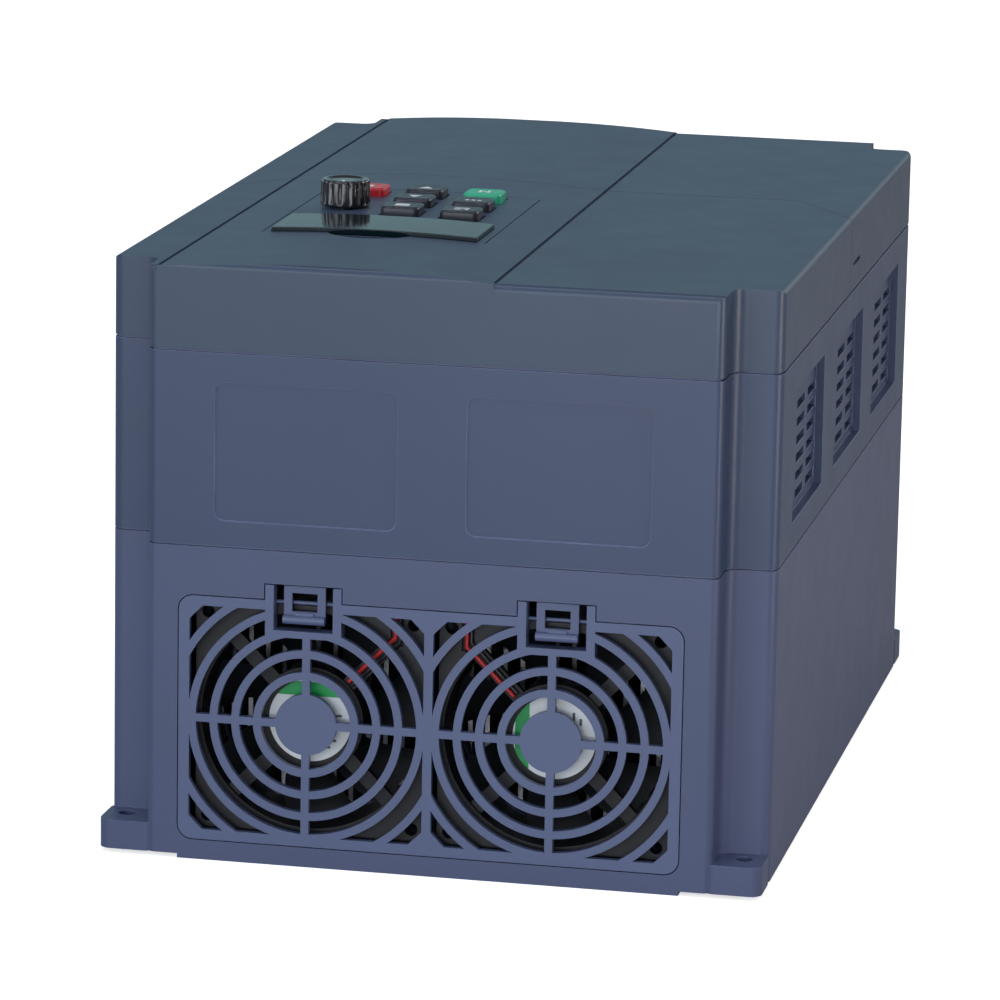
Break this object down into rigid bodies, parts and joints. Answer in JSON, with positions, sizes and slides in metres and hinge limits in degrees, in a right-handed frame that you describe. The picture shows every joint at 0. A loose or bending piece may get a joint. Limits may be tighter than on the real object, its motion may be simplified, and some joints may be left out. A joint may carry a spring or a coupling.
{
  "type": "variable frequency drive",
  "caption": "Motor drive in a stacked plastic case with corner mounting feet, fan grille with snap latches, side vents, and a pull-out keypad with display window, keys and a knob.",
  "frame": {"origin": "centre of the mounting side: middle of the case's width and length, on the plane the base rests on", "axes": "+Z out of the mounting side towards the keypad, +Y from the fan end to the cable end, +X to the right seen from the fan end"},
  "size_m": [0.23, 0.348, 0.2173],
  "materials": {
    "case_plastic": "semi-gloss moulded plastic, slate",
    "base_plastic": "semi-gloss moulded plastic, dark slate",
    "cover_plastic": "semi-gloss moulded plastic, slate",
    "keypad_plastic": "satin moulded plastic, slate",
    "grille_plastic": "satin moulded plastic, dark slate",
    "fan_plastic": "matt black plastic",
    "rotor_plastic": "matt black plastic",
    "label_paper": "white printed label",
    "red_wire": "red wire insulation",
    "black_wire": "black wire insulation",
    "socket_nylon": "natural nylon",
    "aluminium": "extruded",
    "module_plastic": "ivory moulded plastic",
    "zinc_steel": "zinc plated",
    "brass": "plain",
    "board_green": "solder mask over glass fibre",
    "cap_sleeve": "shrink sleeve, dark blue",
    "copper_tape": "yellow winding tape over ferrite",
    "black_plastic": "moulded black plastic",
    "red_plastic": "translucent red",
    "terminal_green": "moulded green plastic",
    "relay_blue": "moulded blue plastic",
    "rubber": "moulded rubber",
    "window": "smoked glossy acrylic",
    "knob_plastic": "satin black plastic",
    "key_black": "satin black plastic",
    "key_green": "satin green plastic",
    "key_red": "satin red plastic"
  },
  "bodies": {
    "housing": {"base_housing": "base_plastic", "middle_housing": "case_plastic", "top_cover": "cover_plastic", "fan_frame_left": "fan_plastic", "fan_frame_right": "fan_plastic", "fan_labels": "label_paper", "fan_leads_red": "red_wire", "fan_leads_black": "black_wire", "fan_duct": "base_plastic", "fan_sockets": "socket_nylon", "heat_sink": "aluminium", "igbt_module": "module_plastic", "rectifier_module": "module_plastic", "module_screws": "zinc_steel", "power_board": "board_green", "board_standoffs": "brass", "board_screws": "zinc_steel", "capacitors": "cap_sleeve", "transformer": "copper_tape", "current_sensors": "black_plastic", "power_terminals": "black_plastic", "terminal_screws": "zinc_steel", "earth_screws": "brass", "charge_lamp": "red_plastic", "control_tray": "base_plastic", "control_board": "board_green", "control_terminals": "terminal_green", "relay": "relay_blue", "keypad_socket": "black_plastic", "shell_screws": "zinc_steel", "gland_plate": "case_plastic", "cable_grommets": "rubber", "gland_screws": "zinc_steel"},
    "terminal_cover": {"terminal_cover": "cover_plastic"},
    "fan_cover": {"fan_cover": "grille_plastic"},
    "fan_latch_left": {"fan_latch_left": "grille_plastic"},
    "fan_latch_right": {"fan_latch_right": "grille_plastic"},
    "fan_rotor_left": {"fan_rotor_left": "rotor_plastic"},
    "fan_rotor_right": {"fan_rotor_right": "rotor_plastic"},
    "keypad": {"keypad_case": "keypad_plastic", "keypad_window": "window", "display_module": "black_plastic", "keypad_board": "board_green", "key_switches": "black_plastic", "potentiometer": "zinc_steel", "keypad_plug": "black_plastic"},
    "knob": {"knob": "knob_plastic", "pot_shaft": "zinc_steel"},
    "key_run": {"key_run": "key_green"},
    "key_stop": {"key_stop": "key_red"},
    "key_up": {"key_up": "key_black"},
    "key_down": {"key_down": "key_black"},
    "key_menu": {"key_menu": "key_black"},
    "key_shift": {"key_shift": "key_black"},
    "key_enter": {"key_enter": "key_black"}
  },
  "joints": [
    {"name": "terminal_cover_lift", "type": "slide", "parent": "housing", "child": "terminal_cover", "axis": [0, 0, 1], "range_m": [0, 0.06]},
    {"name": "fan_cover_pull", "type": "slide", "parent": "housing", "child": "fan_cover", "axis": [0, -1, 0], "range_m": [0, 0.04]},
    {"name": "keypad_pull", "type": "slide", "parent": "housing", "child": "keypad", "axis": [0, 0, 1], "range_m": [0, 0.04]},
    {"name": "knob_turn", "type": "hinge", "parent": "keypad", "child": "knob", "pos_m": [-0.06, -0.0495, 0.21], "axis": [0, 0, 1], "range_deg": [-150, 150]},
    {"name": "fan_latch_left_press", "type": "hinge", "parent": "fan_cover", "child": "fan_latch_left", "pos_m": [-0.0435, -0.16925, 0.0914], "axis": [1, 0, 0], "range_deg": [0, 7], "stiffness_Nm_per_rad": 0.2},
    {"name": "fan_rotor_left_spin", "type": "hinge", "parent": "housing", "child": "fan_rotor_left", "pos_m": [-0.0423, -0.1555, 0.05], "axis": [0, 1, 0], "continuous": true},
    {"name": "fan_latch_right_press", "type": "hinge", "parent": "fan_cover", "child": "fan_latch_right", "pos_m": [0.0435, -0.16925, 0.0914], "axis": [1, 0, 0], "range_deg": [0, 7], "stiffness_Nm_per_rad": 0.2},
    {"name": "fan_rotor_right_spin", "type": "hinge", "parent": "housing", "child": "fan_rotor_right", "pos_m": [0.0423, -0.1555, 0.05], "axis": [0, 1, 0], "continuous": true},
    {"name": "key_run_press", "type": "slide", "parent": "keypad", "child": "key_run", "axis": [0, 0, -1], "range_m": [0, 0.0012], "stiffness_N_per_m": 1000},
    {"name": "key_stop_press", "type": "slide", "parent": "keypad", "child": "key_stop", "axis": [0, 0, -1], "range_m": [0, 0.0012], "stiffness_N_per_m": 1000},
    {"name": "key_up_press", "type": "slide", "parent": "keypad", "child": "key_up", "axis": [0, 0, -1], "range_m": [0, 0.0012], "stiffness_N_per_m": 1000},
    {"name": "key_down_press", "type": "slide", "parent": "keypad", "child": "key_down", "axis": [0, 0, -1], "range_m": [0, 0.0012], "stiffness_N_per_m": 1000},
    {"name": "key_menu_press", "type": "slide", "parent": "keypad", "child": "key_menu", "axis": [0, 0, -1], "range_m": [0, 0.0012], "stiffness_N_per_m": 1000},
    {"name": "key_shift_press", "type": "slide", "parent": "keypad", "child": "key_shift", "axis": [0, 0, -1], "range_m": [0, 0.0012], "stiffness_N_per_m": 1000},
    {"name": "key_enter_press", "type": "slide", "parent": "keypad", "child": "key_enter", "axis": [0, 0, -1], "range_m": [0, 0.0012], "stiffness_N_per_m": 1000}
  ]
}
